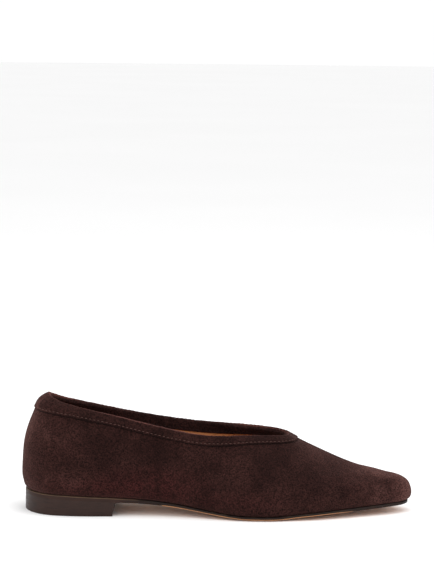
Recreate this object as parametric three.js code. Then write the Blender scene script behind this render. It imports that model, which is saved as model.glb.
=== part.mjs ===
// Women's suede ballet flat, right foot, standing empty on its heel and forefoot.
// Millimetres. Heel to toe runs along +X, the outer side of the foot is -Y, and +Z is up.

import * as THREE from 'three';
import { mergeVertices } from 'three/addons/utils/BufferGeometryUtils.js';

// Driving sizes
const LENGTH = 263; // from the swell of the back to the tip of the toe
const BALL_WIDTH = 78; // sole across the ball of the foot
const BACK_HEIGHT = 78; // edge of the collar above the floor at the back
const HEEL_HEIGHT = 11.6; // heel block at its back
const HEEL_LENGTH = 61; // heel block from its back to its breast
const TOE_SPRING = 5; // underside of the sole above the floor at the tip
const SOLE_THICKNESS = 2.7;
const SOLE_REVEAL = 1.4; // sole edge beyond the line where the upper turns under
const SOLE_CROWN = 0.9; // how far the tread rises towards its edges
const EDGE_BEVEL = 0.5; // bevel along the bottom edges of sole and heel
const WALL = 1.8; // suede with its lining
const LASTING_MARGIN = 9; // upper turned under on to the sole
const BINDING_OUTSIDE = 6.3; // depth of the binding on the outside
const BINDING_BACK = 13; // the same at the middle of the back
const BACK_FOCUS = 1.3; // how closely the deeper stretch keeps to the middle of the back
const BINDING_INSIDE = 7.2; // depth of the binding on the inside
const BINDING_THICKNESS = 0.9;
const INSOLE_THICKNESS = 2.2;
const INSOLE_CLEARANCE = 1.2; // insole edge in from the line where the upper turns under
const BREAST_FILLET = 2.4; // curve between heel breast and sole
const BREAST_RAKE = 1; // how far the breast leans back towards the floor
const GAP = 0.3; // between neighbouring pieces
const TREAD_FLAT = 0.6; // share of the sole's width that is level underneath

// Ribs of the upper, from the middle of the back, along the outer side, round the toe and back along
// the inner side. The foot of a rib is where the upper turns under, and its top is the collar's edge.
// at and topAt are shares of LENGTH, out, topOut and swell of BALL_WIDTH, topUp of BACK_HEIGHT.
// back and toe say how far the rib follows the profile of the back or of the toe.
const RIBS = [
  { at: 0.0138, out: 0.000, topAt: 0.0665, topOut: 0.000, topUp: 1.000, swell: 0.050, back: 1, toe: 0 },
  { at: 0.0290, out: -0.167, topAt: 0.0730, topOut: -0.077, topUp: 0.983, swell: 0.050, back: 0.9, toe: 0 },
  { at: 0.0650, out: -0.288, topAt: 0.0970, topOut: -0.141, topUp: 0.948, swell: 0.050, back: 0.6, toe: 0 },
  { at: 0.1160, out: -0.335, topAt: 0.1330, topOut: -0.186, topUp: 0.918, swell: 0.050, back: 0.3, toe: 0 },
  { at: 0.1790, out: -0.345, topAt: 0.1850, topOut: -0.215, topUp: 0.879, swell: 0.050, back: 0.1, toe: 0 },
  { at: 0.2500, out: -0.330, topAt: 0.2500, topOut: -0.238, topUp: 0.836, swell: 0.050, back: 0, toe: 0 },
  { at: 0.3270, out: -0.310, topAt: 0.3200, topOut: -0.260, topUp: 0.782, swell: 0.048, back: 0, toe: 0 },
  { at: 0.4050, out: -0.335, topAt: 0.3900, topOut: -0.290, topUp: 0.735, swell: 0.044, back: 0, toe: 0 },
  { at: 0.4800, out: -0.395, topAt: 0.4560, topOut: -0.302, topUp: 0.698, swell: 0.036, back: 0, toe: 0 },
  { at: 0.5500, out: -0.460, topAt: 0.5150, topOut: -0.286, topUp: 0.685, swell: 0.030, back: 0, toe: 0 },
  { at: 0.6200, out: -0.481, topAt: 0.5700, topOut: -0.250, topUp: 0.686, swell: 0.026, back: 0, toe: 0 },
  { at: 0.6850, out: -0.452, topAt: 0.6130, topOut: -0.205, topUp: 0.680, swell: 0.022, back: 0, toe: 0.12 },
  { at: 0.7500, out: -0.412, topAt: 0.6500, topOut: -0.168, topUp: 0.673, swell: 0.018, back: 0, toe: 0.3 },
  { at: 0.8150, out: -0.335, topAt: 0.6730, topOut: -0.122, topUp: 0.668, swell: 0.012, back: 0, toe: 0.5 },
  { at: 0.8750, out: -0.250, topAt: 0.6820, topOut: -0.076, topUp: 0.664, swell: 0.006, back: 0, toe: 0.7 },
  { at: 0.9320, out: -0.165, topAt: 0.6845, topOut: -0.036, topUp: 0.662, swell: 0.000, back: 0, toe: 0.88 },
  { at: 0.9735, out: -0.080, topAt: 0.6850, topOut: 0.000, topUp: 0.662, swell: 0.000, back: 0, toe: 1 },
  { at: 0.9890, out: 0.030, topAt: 0.6855, topOut: 0.025, topUp: 0.662, swell: 0.000, back: 0, toe: 1 },
  { at: 0.9750, out: 0.138, topAt: 0.6845, topOut: 0.050, topUp: 0.662, swell: 0.000, back: 0, toe: 1 },
  { at: 0.9360, out: 0.222, topAt: 0.6830, topOut: 0.086, topUp: 0.662, swell: 0.000, back: 0, toe: 0.88 },
  { at: 0.8800, out: 0.298, topAt: 0.6775, topOut: 0.128, topUp: 0.664, swell: 0.006, back: 0, toe: 0.7 },
  { at: 0.8200, out: 0.372, topAt: 0.6640, topOut: 0.170, topUp: 0.669, swell: 0.012, back: 0, toe: 0.5 },
  { at: 0.7550, out: 0.432, topAt: 0.6410, topOut: 0.213, topUp: 0.676, swell: 0.018, back: 0, toe: 0.3 },
  { at: 0.6900, out: 0.458, topAt: 0.6030, topOut: 0.250, topUp: 0.684, swell: 0.022, back: 0, toe: 0.12 },
  { at: 0.6200, out: 0.436, topAt: 0.5600, topOut: 0.287, topUp: 0.690, swell: 0.030, back: 0, toe: 0 },
  { at: 0.5400, out: 0.365, topAt: 0.5050, topOut: 0.312, topUp: 0.698, swell: 0.044, back: 0, toe: 0 },
  { at: 0.4600, out: 0.285, topAt: 0.4400, topOut: 0.322, topUp: 0.712, swell: 0.058, back: 0, toe: 0 },
  { at: 0.3800, out: 0.250, topAt: 0.3700, topOut: 0.305, topUp: 0.742, swell: 0.064, back: 0, toe: 0 },
  { at: 0.3050, out: 0.268, topAt: 0.3000, topOut: 0.278, topUp: 0.784, swell: 0.060, back: 0, toe: 0 },
  { at: 0.2400, out: 0.308, topAt: 0.2400, topOut: 0.252, topUp: 0.826, swell: 0.054, back: 0, toe: 0 },
  { at: 0.1790, out: 0.335, topAt: 0.1850, topOut: 0.224, topUp: 0.867, swell: 0.050, back: 0.1, toe: 0 },
  { at: 0.1160, out: 0.333, topAt: 0.1330, topOut: 0.190, topUp: 0.908, swell: 0.050, back: 0.3, toe: 0 },
  { at: 0.0650, out: 0.288, topAt: 0.0970, topOut: 0.141, topUp: 0.944, swell: 0.050, back: 0.6, toe: 0 },
  { at: 0.0290, out: 0.167, topAt: 0.0730, topOut: 0.077, topUp: 0.983, swell: 0.050, back: 0.9, toe: 0 },
];

// Profiles of a rib from its foot to the collar. The In columns are shares of the way from foot to top
// in plan, the Up columns shares of the height between them, and swell the share of the rib's swell.
const PROFILE = [
  { sideIn: 0.00, sideUp: 0.000, toeIn: 0.000, toeUp: 0.000, backIn: 0.000, swell: 0.00 },
  { sideIn: 0.00, sideUp: 0.030, toeIn: -0.034, toeUp: 0.025, backIn: 0.000, swell: 0.50 },
  { sideIn: 0.00, sideUp: 0.080, toeIn: -0.048, toeUp: 0.090, backIn: 0.010, swell: 0.80 },
  { sideIn: 0.01, sideUp: 0.140, toeIn: -0.043, toeUp: 0.180, backIn: 0.000, swell: 0.95 },
  { sideIn: 0.03, sideUp: 0.210, toeIn: -0.015, toeUp: 0.290, backIn: 0.008, swell: 1.00 },
  { sideIn: 0.06, sideUp: 0.290, toeIn: 0.045, toeUp: 0.362, backIn: 0.010, swell: 0.95 },
  { sideIn: 0.11, sideUp: 0.380, toeIn: 0.140, toeUp: 0.405, backIn: 0.005, swell: 0.85 },
  { sideIn: 0.19, sideUp: 0.480, toeIn: 0.250, toeUp: 0.460, backIn: 0.005, swell: 0.70 },
  { sideIn: 0.30, sideUp: 0.580, toeIn: 0.380, toeUp: 0.515, backIn: 0.040, swell: 0.52 },
  { sideIn: 0.44, sideUp: 0.690, toeIn: 0.520, toeUp: 0.605, backIn: 0.150, swell: 0.36 },
  { sideIn: 0.60, sideUp: 0.790, toeIn: 0.660, toeUp: 0.715, backIn: 0.285, swell: 0.20 },
  { sideIn: 0.78, sideUp: 0.890, toeIn: 0.820, toeUp: 0.850, backIn: 0.450, swell: 0.08 },
  { sideIn: 0.90, sideUp: 0.955, toeIn: 0.920, toeUp: 0.935, backIn: 0.640, swell: 0.03 },
  { sideIn: 1.00, sideUp: 1.000, toeIn: 1.000, toeUp: 1.000, backIn: 1.000, swell: 0.00 },
];

// Underside of the sole along its length: at is a share of LENGTH, heel of HEEL_HEIGHT and spring of
// TOE_SPRING. It is flat on the floor between the two rows of the tread.
const UNDERSIDE = [
  { at: -0.05, heel: 1.03, spring: 0.00 },
  { at: 0.00, heel: 1.00, spring: 0.00 },
  { at: 0.12, heel: 0.93, spring: 0.00 },
  { at: 0.22, heel: 0.84, spring: 0.00 },
  { at: 0.28, heel: 0.76, spring: 0.00 },
  { at: 0.33, heel: 0.67, spring: 0.00 },
  { at: 0.38, heel: 0.55, spring: 0.00 },
  { at: 0.43, heel: 0.39, spring: 0.00 },
  { at: 0.48, heel: 0.22, spring: 0.00 },
  { at: 0.53, heel: 0.08, spring: 0.00 },
  { at: 0.58, heel: 0.00, spring: 0.00 },
  { at: 0.65, heel: 0.00, spring: 0.00 },
  { at: 0.71, heel: 0.00, spring: 0.28 },
  { at: 0.77, heel: 0.00, spring: 0.50 },
  { at: 0.83, heel: 0.00, spring: 0.66 },
  { at: 0.89, heel: 0.00, spring: 0.80 },
  { at: 0.95, heel: 0.00, spring: 0.93 },
  { at: 1.00, heel: 0.00, spring: 1.02 },
  { at: 1.05, heel: 0.00, spring: 1.20 },
];

// How finely the faceted pieces are cut
const STATIONS_PER_RIB = 2;
const SIDE_ROWS = 11;
const SOLE_SECTIONS = 56;
const HEEL_SECTIONS = 22;
const FILLET_SECTIONS = 4;

const STATIONS = RIBS.length * STATIONS_PER_RIB;
const TIP = RIBS.findIndex((rib) => rib.at === Math.max(...RIBS.map((r) => r.at))) / RIBS.length;

// Smooth value at x through the rows of a table whose column `at` runs upwards
function along(table, at, value) {
  const last = table.length - 2;
  let i = 0;
  while (i < last && at > table[i + 1].at) i += 1;
  const from = table[i];
  const to = table[i + 1];
  const slope = (a, b) => (value(b) - value(a)) / (b.at - a.at);
  const middle = slope(from, to);
  const before = i > 0 ? slope(table[i - 1], from) : middle;
  const after = i < last ? slope(to, table[i + 2]) : middle;
  // A flat stretch keeps its ends level, so that the curve doesn't run past it.
  const ease = (a, b) => (a * b <= 0 ? 0 : (2 * a * b) / (a + b));
  const span = to.at - from.at;
  const t = (at - from.at) / span;
  const start = ease(before, middle) * span;
  const end = ease(middle, after) * span;
  const rise = value(to) - value(from);
  const bend = 3 * rise - 2 * start - end;
  const twist = start + end - 2 * rise;
  return value(from) + start * t + bend * t * t + twist * t * t * t;
}

function soleBottom(x) {
  return along(UNDERSIDE, x / LENGTH, (row) => row.heel * HEEL_HEIGHT + row.spring * TOE_SPRING);
}

function soleTop(x) {
  return soleBottom(x) + SOLE_THICKNESS;
}

// Line where the upper turns under, as a closed curve in plan, and its outward direction
const footLine = new THREE.CatmullRomCurve3(
  RIBS.map((rib) => new THREE.Vector3(rib.at * LENGTH, rib.out * BALL_WIDTH, 0)),
  true,
  'centripetal',
);

function footPoint(u, outward = 0) {
  const share = ((u % 1) + 1) % 1;
  const point = footLine.getPoint(share);
  const way = footLine.getTangent(share);
  return new THREE.Vector3(point.x + way.y * outward, point.y - way.x * outward, 0);
}

// Surface of the upper: a closed ring through the ribs for each row of the profile
function ribPoint(rib, row, footOutward) {
  const side = 1 - rib.back - rib.toe;
  const share = side * row.sideIn + rib.back * row.backIn + rib.toe * row.toeIn;
  const up = (side + rib.back) * row.sideUp + rib.toe * row.toeUp;
  const foot = new THREE.Vector3(rib.at * LENGTH, rib.out * BALL_WIDTH, 0);
  const top = new THREE.Vector3(rib.topAt * LENGTH, rib.topOut * BALL_WIDTH, rib.topUp * BACK_HEIGHT);
  const swell = rib.swell * BALL_WIDTH * row.swell;
  const footHeight = soleTop(foot.x) + GAP;
  return new THREE.Vector3(
    foot.x + (top.x - foot.x) * share + footOutward.x * swell,
    foot.y + (top.y - foot.y) * share + footOutward.y * swell,
    footHeight + (top.z - footHeight) * up,
  );
}

const rings = PROFILE.map((row) => {
  const points = RIBS.map((rib, i) => {
    const way = footLine.getTangent(i / RIBS.length);
    return ribPoint(rib, row, new THREE.Vector3(way.y, -way.x, 0));
  });
  return new THREE.CatmullRomCurve3(points, true, 'centripetal');
});

function ribCurve(u) {
  const share = ((u % 1) + 1) % 1;
  return new THREE.CatmullRomCurve3(rings.map((ring) => ring.getPoint(share)), false, 'centripetal');
}

// One rib at u, with the curves just before and after it for the surface's normals
function ribAt(u) {
  const step = 0.002;
  const curve = ribCurve(u);
  const before = ribCurve(u - step);
  const after = ribCurve(u + step);
  const tangent = (v) => curve.getTangent(Math.min(Math.max(v, 0.0005), 0.9995)).normalize();
  const normal = (v) => {
    const round = after.getPoint(v).sub(before.getPoint(v));
    return round.cross(tangent(v)).normalize();
  };
  const levelBelow = (depth) => {
    const steps = 240;
    let length = 0;
    let here = curve.getPoint(1);
    for (let i = steps - 1; i >= 0; i -= 1) {
      const next = curve.getPoint(i / steps);
      const piece = next.distanceTo(here);
      if (length + piece >= depth) return (i + 1 - (depth - length) / piece) / steps;
      length += piece;
      here = next;
    }
    return 0;
  };
  return { point: (v) => curve.getPoint(v), normal, tangent, levelBelow };
}

// Closed body from loops of points: each loop is joined to the next, and the last to the first when
// the body runs all the way round. Loops that shrink to a line close an end by themselves.
function bodyFrom(loops, { round = false, capEnd = false } = {}) {
  const size = loops[0].length;
  const positions = loops.flat().flatMap((p) => [p.x, p.y, p.z]);
  const index = [];
  const spans = round ? loops.length : loops.length - 1;
  for (let i = 0; i < spans; i += 1) {
    for (let j = 0; j < size; j += 1) {
      const a = i * size + j;
      const b = i * size + ((j + 1) % size);
      const c = ((i + 1) % loops.length) * size + ((j + 1) % size);
      const d = ((i + 1) % loops.length) * size + j;
      index.push(a, b, c, a, c, d);
    }
  }
  if (capEnd) {
    const first = (loops.length - 1) * size;
    for (let j = 1; j < size - 1; j += 1) index.push(first, first + j, first + j + 1);
  }
  const raw = new THREE.BufferGeometry();
  raw.setAttribute('position', new THREE.Float32BufferAttribute(positions, 3));
  raw.setIndex(index);
  return facingOut(mergeVertices(raw, 1e-3));
}

// Drops collapsed triangles and turns the rest so that they face out of the body
function facingOut(geometry) {
  const at = geometry.attributes.position;
  const corners = [...geometry.index.array];
  const kept = [];
  let volume = 0;
  for (let i = 0; i < corners.length; i += 3) {
    const [a, b, c] = corners.slice(i, i + 3);
    if (a === b || b === c || c === a) continue;
    const [p, q, r] = [a, b, c].map((n) => new THREE.Vector3().fromBufferAttribute(at, n));
    volume += p.dot(q.cross(r));
    kept.push(a, b, c);
  }
  if (volume < 0) {
    for (let i = 0; i < kept.length; i += 3) [kept[i + 1], kept[i + 2]] = [kept[i + 2], kept[i + 1]];
  }
  geometry.setIndex(kept);
  geometry.computeVertexNormals();
  return geometry;
}

// Rows of the binding below the collar's edge, as shares of its depth; the upper is cut along the outer ones
const OUTSIDE_ROWS = [1, 0.6, 0.3, 0.1];
const INSIDE_ROWS = [0.08, 0.5, 1];
// The binding's fold: reach of its shoulders outwards and upwards, as shares of its height above the edge
const SHOULDER_OUT = 0.75;
const SHOULDER_UP = 0.6;

// Depth of the binding on the outside at u, deeper towards the middle of the back
function bindingDepth(u) {
  const place = u * RIBS.length;
  const from = RIBS[Math.floor(place)];
  const to = RIBS[Math.ceil(place) % RIBS.length];
  const back = THREE.MathUtils.lerp(from.back, to.back, place % 1);
  return THREE.MathUtils.lerp(BINDING_OUTSIDE, BINDING_BACK, back ** BACK_FOCUS);
}

// The upper: outer skin from the lasting margin to the collar, and the lining side back down
function upperGeometry() {
  const loops = [];
  for (let s = 0; s < STATIONS; s += 1) {
    const u = s / STATIONS;
    const rib = ribAt(u);
    const bandDepth = bindingDepth(u);
    const bandLevel = rib.levelBelow(bandDepth);
    const levels = [];
    for (let row = 0; row < SIDE_ROWS; row += 1) levels.push((bandLevel * row) / SIDE_ROWS);
    OUTSIDE_ROWS.forEach((share) => levels.push(rib.levelBelow(share * bandDepth)));
    levels.push(1);
    const outside = levels.map((v) => rib.point(v));
    const inside = levels.map((v, i) => outside[i].clone().addScaledVector(rib.normal(v), -WALL));
    const foot = outside[0];
    const turn = footPoint(u, -LASTING_MARGIN);
    const marginEdge = new THREE.Vector3(turn.x, turn.y, soleTop(turn.x) + GAP);
    // The corner where the wall turns under is as thick as the wall, measured upwards.
    const corner = footPoint(u, -WALL / 2);
    inside[0] = new THREE.Vector3(corner.x, corner.y, foot.z + WALL);
    const marginTop = marginEdge.clone().setZ(marginEdge.z + WALL);
    loops.push([marginEdge, ...outside, ...inside.reverse(), marginTop]);
  }
  return bodyFrom(loops, { round: true });
}

// The binding: a folded band over the collar's edge, outer leg, fold and inner leg
function bindingGeometry() {
  const loops = [];
  const lift = GAP + BINDING_THICKNESS;
  const innerRows = INSIDE_ROWS.map((share) => share * BINDING_INSIDE);
  for (let s = 0; s < STATIONS; s += 1) {
    const rib = ribAt(s / STATIONS);
    const outerRows = OUTSIDE_ROWS.map((share) => share * bindingDepth(s / STATIONS));
    const off = (depth, distance) => {
      const v = rib.levelBelow(depth);
      return rib.point(v).addScaledVector(rib.normal(v), distance);
    };
    const edge = rib.point(1);
    const out = rib.normal(1);
    const up = rib.tangent(1);
    const round = (across, over) => edge.clone().addScaledVector(out, across).addScaledVector(up, over);
    loops.push([
      ...outerRows.map((depth) => off(depth, lift)),
      round(lift * SHOULDER_OUT, lift * SHOULDER_UP),
      round(-WALL / 2, lift),
      round(-WALL - lift * SHOULDER_OUT, lift * SHOULDER_UP),
      ...innerRows.map((depth) => off(depth, -WALL - lift)),
      ...innerRows.map((depth) => off(depth, -WALL - GAP)).reverse(),
      round(-WALL - GAP, GAP),
      round(GAP, GAP),
      ...outerRows.map((depth) => off(depth, GAP)).reverse(),
    ]);
  }
  return bodyFrom(loops, { round: true });
}

// Width of a closed outline at x on one side: the outline runs outwards in x up to the tip, then back
function edgeAt(outline, x, inner) {
  let near = inner ? 1 : 0;
  let far = outline.tip;
  for (let i = 0; i < 40; i += 1) {
    const middle = (near + far) / 2;
    if (outline.point(middle).x < x) near = middle;
    else far = middle;
  }
  return outline.point((near + far) / 2).y;
}

// An outline in plan: the line where the upper turns under, moved outwards or inwards
function outlineFrom(outward) {
  const point = (u) => footPoint(u, outward);
  let tip = TIP;
  for (let step = 0.01; step > 1e-6; step /= 2) {
    while (point(tip + step).x > point(tip).x) tip += step;
    while (point(tip - step).x > point(tip).x) tip -= step;
  }
  return { point, tip, start: point(0).x, end: point(tip).x };
}

// Places along x that lie closer together towards both ends
function placesAlong(start, end, count) {
  const places = [];
  for (let i = 0; i <= count; i += 1) {
    const share = (1 - Math.cos((Math.PI * i) / count)) / 2;
    places.push(start + (end - start) * share);
  }
  return places;
}

const soleOutline = outlineFrom(SOLE_REVEAL);

// The outsole: level across its top, crowned underneath, with a bevelled edge
function outsoleGeometry() {
  const halfway = (1 + TREAD_FLAT) / 2;
  const across = [-1, -halfway, -TREAD_FLAT, 0, TREAD_FLAT, halfway, 1];
  const loops = placesAlong(soleOutline.start, soleOutline.end, SOLE_SECTIONS).map((x, i, all) => {
    const ends = i === 0 || i === all.length - 1;
    const left = ends ? soleOutline.point(i === 0 ? 0 : soleOutline.tip).y : edgeAt(soleOutline, x, false);
    const right = ends ? left : edgeAt(soleOutline, x, true);
    const middle = (left + right) / 2;
    const half = (right - left) / 2;
    const underHalf = Math.max(half - EDGE_BEVEL, 0);
    const bottom = soleBottom(x);
    const top = soleTop(x);
    const forefoot = THREE.MathUtils.smoothstep(x, HEEL_LENGTH, HEEL_LENGTH + BALL_WIDTH);
    const under = across.map((share) => {
      const outer = Math.max(0, (Math.abs(share) - TREAD_FLAT) / (1 - TREAD_FLAT));
      const rise = outer ** 2 * SOLE_CROWN * forefoot;
      return new THREE.Vector3(x, middle + share * underHalf, bottom + rise);
    });
    const bevelTop = bottom + SOLE_CROWN * forefoot + EDGE_BEVEL;
    return [
      ...under,
      new THREE.Vector3(x, right, bevelTop),
      new THREE.Vector3(x, right, top),
      new THREE.Vector3(x, middle, top),
      new THREE.Vector3(x, left, top),
      new THREE.Vector3(x, left, bevelTop),
    ];
  });
  return bodyFrom(loops);
}

// The heel block: seated under the outsole, flat on the floor, its breast leaning back
function heelGeometry() {
  const back = soleOutline.start;
  const breast = back + HEEL_LENGTH;
  const section = (x, floor, bevel) => {
    const end = x === back;
    const left = end ? 0 : edgeAt(soleOutline, x, false);
    const right = end ? 0 : edgeAt(soleOutline, x, true);
    const top = soleBottom(x) - GAP;
    const inset = end ? 0 : bevel;
    return [
      new THREE.Vector3(x, left, top),
      new THREE.Vector3(x, right, top),
      new THREE.Vector3(x, right, Math.min(floor + bevel, top)),
      new THREE.Vector3(x, right - inset, floor),
      new THREE.Vector3(x, left + inset, floor),
      new THREE.Vector3(x, left, Math.min(floor + bevel, top)),
    ];
  };
  const loops = [];
  for (let i = 0; i <= HEEL_SECTIONS; i += 1) {
    const share = 1 - Math.cos((Math.PI * i) / (2 * HEEL_SECTIONS));
    loops.push(section(back + (HEEL_LENGTH - BREAST_RAKE) * share, 0, EDGE_BEVEL));
  }
  for (let i = 0; i <= FILLET_SECTIONS; i += 1) {
    const angle = (Math.PI * i) / (2 * FILLET_SECTIONS);
    const x = breast + BREAST_FILLET * (1 - Math.cos(angle));
    const drop = BREAST_FILLET * (1 - Math.sin(angle)) + GAP;
    loops.push(section(x, soleBottom(x) - GAP - drop, 0));
  }
  return bodyFrom(loops, { capEnd: true });
}

// The insole: inside the upper, on its turned-under margin
function insoleGeometry() {
  const outline = outlineFrom(-INSOLE_CLEARANCE);
  const loops = placesAlong(outline.start, outline.end, SOLE_SECTIONS).map((x, i, all) => {
    const ends = i === 0 || i === all.length - 1;
    const left = ends ? outline.point(i === 0 ? 0 : outline.tip).y : edgeAt(outline, x, false);
    const right = ends ? left : edgeAt(outline, x, true);
    const bottom = soleTop(x) + GAP + WALL + GAP;
    return [
      new THREE.Vector3(x, left, bottom),
      new THREE.Vector3(x, right, bottom),
      new THREE.Vector3(x, right, bottom + INSOLE_THICKNESS),
      new THREE.Vector3(x, left, bottom + INSOLE_THICKNESS),
    ];
  });
  return bodyFrom(loops);
}

// Each piece with its own material
function piece(name, geometry, color, roughness) {
  const material = new THREE.MeshStandardMaterial({ color, roughness, metalness: 0 });
  const mesh = new THREE.Mesh(geometry, material);
  mesh.name = name;
  return mesh;
}

const shoe = new THREE.Group();
shoe.add(
  piece('upper', upperGeometry(), 0x38211f, 0.95),
  piece('topline_binding', bindingGeometry(), 0x33201e, 0.95),
  piece('insole', insoleGeometry(), 0xb9794c, 0.6),
  piece('outsole', outsoleGeometry(), 0x2a211e, 0.55),
  piece('heel_block', heelGeometry(), 0x3c302e, 0.5),
);

// The origin is under the middle of the shoe, on the floor
const box = new THREE.Box3().setFromObject(shoe);
const centre = box.getCenter(new THREE.Vector3());
shoe.position.set(-centre.x, -centre.y, -box.min.z);

export default shoe;
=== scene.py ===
import math

import bpy
import numpy as np
from mathutils import Matrix, Vector


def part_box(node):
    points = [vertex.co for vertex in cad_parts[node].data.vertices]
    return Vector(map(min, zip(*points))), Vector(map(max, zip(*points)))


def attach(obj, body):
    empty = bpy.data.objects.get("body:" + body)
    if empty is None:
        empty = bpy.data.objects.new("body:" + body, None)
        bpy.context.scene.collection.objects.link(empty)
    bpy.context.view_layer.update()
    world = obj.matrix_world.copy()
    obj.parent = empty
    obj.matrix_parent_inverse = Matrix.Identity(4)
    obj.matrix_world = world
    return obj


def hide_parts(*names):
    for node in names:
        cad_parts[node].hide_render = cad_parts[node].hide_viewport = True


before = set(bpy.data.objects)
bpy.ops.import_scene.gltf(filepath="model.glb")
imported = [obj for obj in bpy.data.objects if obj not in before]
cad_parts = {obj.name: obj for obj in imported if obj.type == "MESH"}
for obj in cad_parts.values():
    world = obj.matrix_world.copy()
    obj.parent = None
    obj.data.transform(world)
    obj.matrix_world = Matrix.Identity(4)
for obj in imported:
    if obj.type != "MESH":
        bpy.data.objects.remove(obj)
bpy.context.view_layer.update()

# The upper is one piece of brown suede on a thin tan leather lining. It is pulled over a narrow last and
# turned under all round, where the sole holds it, so nothing shows between collar and sole but nap.
shoe_length = 0.263
ball_width = 0.078
back_height = 0.078
heel_height = 0.0116
toe_spring = 0.005
sole_thickness = 0.0027
sole_reveal = 0.0014
wall = 0.0018
lasting_margin = 0.009
seam_gap = 0.0003
stations = 816
upper_stride = 2
rib_steps = 320

# Foot and collar of each rib: along and out at the foot, along, out and up at the collar, swell, back, toe
ribs = np.array([
    (0.0138, 0.000, 0.0665, 0.000, 1.000, 0.050, 1.0, 0.0),
    (0.0290, -0.167, 0.0730, -0.077, 0.983, 0.050, 0.9, 0.0),
    (0.0650, -0.288, 0.0970, -0.141, 0.948, 0.050, 0.6, 0.0),
    (0.1160, -0.335, 0.1330, -0.186, 0.918, 0.050, 0.3, 0.0),
    (0.1790, -0.345, 0.1850, -0.215, 0.879, 0.050, 0.1, 0.0),
    (0.2500, -0.330, 0.2500, -0.238, 0.836, 0.050, 0.0, 0.0),
    (0.3270, -0.310, 0.3200, -0.260, 0.782, 0.048, 0.0, 0.0),
    (0.4050, -0.335, 0.3900, -0.290, 0.735, 0.044, 0.0, 0.0),
    (0.4800, -0.395, 0.4560, -0.302, 0.698, 0.036, 0.0, 0.0),
    (0.5500, -0.460, 0.5150, -0.286, 0.685, 0.030, 0.0, 0.0),
    (0.6200, -0.481, 0.5700, -0.250, 0.686, 0.026, 0.0, 0.0),
    (0.6850, -0.452, 0.6130, -0.205, 0.680, 0.022, 0.0, 0.12),
    (0.7500, -0.412, 0.6500, -0.168, 0.673, 0.018, 0.0, 0.3),
    (0.8150, -0.335, 0.6730, -0.122, 0.668, 0.012, 0.0, 0.5),
    (0.8750, -0.250, 0.6820, -0.076, 0.664, 0.006, 0.0, 0.7),
    (0.9320, -0.165, 0.6845, -0.036, 0.662, 0.000, 0.0, 0.88),
    (0.9735, -0.080, 0.6850, 0.000, 0.662, 0.000, 0.0, 1.0),
    (0.9890, 0.030, 0.6855, 0.025, 0.662, 0.000, 0.0, 1.0),
    (0.9750, 0.138, 0.6845, 0.050, 0.662, 0.000, 0.0, 1.0),
    (0.9360, 0.222, 0.6830, 0.086, 0.662, 0.000, 0.0, 0.88),
    (0.8800, 0.298, 0.6775, 0.128, 0.664, 0.006, 0.0, 0.7),
    (0.8200, 0.372, 0.6640, 0.170, 0.669, 0.012, 0.0, 0.5),
    (0.7550, 0.432, 0.6410, 0.213, 0.676, 0.018, 0.0, 0.3),
    (0.6900, 0.458, 0.6030, 0.250, 0.684, 0.022, 0.0, 0.12),
    (0.6200, 0.436, 0.5600, 0.287, 0.690, 0.030, 0.0, 0.0),
    (0.5400, 0.365, 0.5050, 0.312, 0.698, 0.044, 0.0, 0.0),
    (0.4600, 0.285, 0.4400, 0.322, 0.712, 0.058, 0.0, 0.0),
    (0.3800, 0.250, 0.3700, 0.305, 0.742, 0.064, 0.0, 0.0),
    (0.3050, 0.268, 0.3000, 0.278, 0.784, 0.060, 0.0, 0.0),
    (0.2400, 0.308, 0.2400, 0.252, 0.826, 0.054, 0.0, 0.0),
    (0.1790, 0.335, 0.1850, 0.224, 0.867, 0.050, 0.1, 0.0),
    (0.1160, 0.333, 0.1330, 0.190, 0.908, 0.050, 0.3, 0.0),
    (0.0650, 0.288, 0.0970, 0.141, 0.944, 0.050, 0.6, 0.0),
    (0.0290, 0.167, 0.0730, 0.077, 0.983, 0.050, 0.9, 0.0),
])

# Profile of a rib from foot to collar: side in and up, toe in and up, back in, share of the swell
profile = np.array([
    (0.00, 0.000, 0.000, 0.000, 0.000, 0.00),
    (0.00, 0.030, -0.034, 0.025, 0.000, 0.50),
    (0.00, 0.080, -0.048, 0.090, 0.010, 0.80),
    (0.01, 0.140, -0.043, 0.180, 0.000, 0.95),
    (0.03, 0.210, -0.015, 0.290, 0.008, 1.00),
    (0.06, 0.290, 0.045, 0.362, 0.010, 0.95),
    (0.11, 0.380, 0.140, 0.405, 0.005, 0.85),
    (0.19, 0.480, 0.250, 0.460, 0.005, 0.70),
    (0.30, 0.580, 0.380, 0.515, 0.040, 0.52),
    (0.44, 0.690, 0.520, 0.605, 0.150, 0.36),
    (0.60, 0.790, 0.660, 0.715, 0.285, 0.20),
    (0.78, 0.890, 0.820, 0.850, 0.450, 0.08),
    (0.90, 0.955, 0.920, 0.935, 0.640, 0.03),
    (1.00, 1.000, 1.000, 1.000, 1.000, 0.00),
])

# Underside of the sole: along, share of the heel's height, share of the toe spring
underside = np.array([
    (-0.05, 1.03, 0.00), (0.00, 1.00, 0.00), (0.12, 0.93, 0.00), (0.22, 0.84, 0.00), (0.28, 0.76, 0.00),
    (0.33, 0.67, 0.00), (0.38, 0.55, 0.00), (0.43, 0.39, 0.00), (0.48, 0.22, 0.00), (0.53, 0.08, 0.00),
    (0.58, 0.00, 0.00), (0.65, 0.00, 0.00), (0.71, 0.00, 0.28), (0.77, 0.00, 0.50), (0.83, 0.00, 0.66),
    (0.89, 0.00, 0.80), (0.95, 0.00, 0.93), (1.00, 0.00, 1.02), (1.05, 0.00, 1.20),
])


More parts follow.
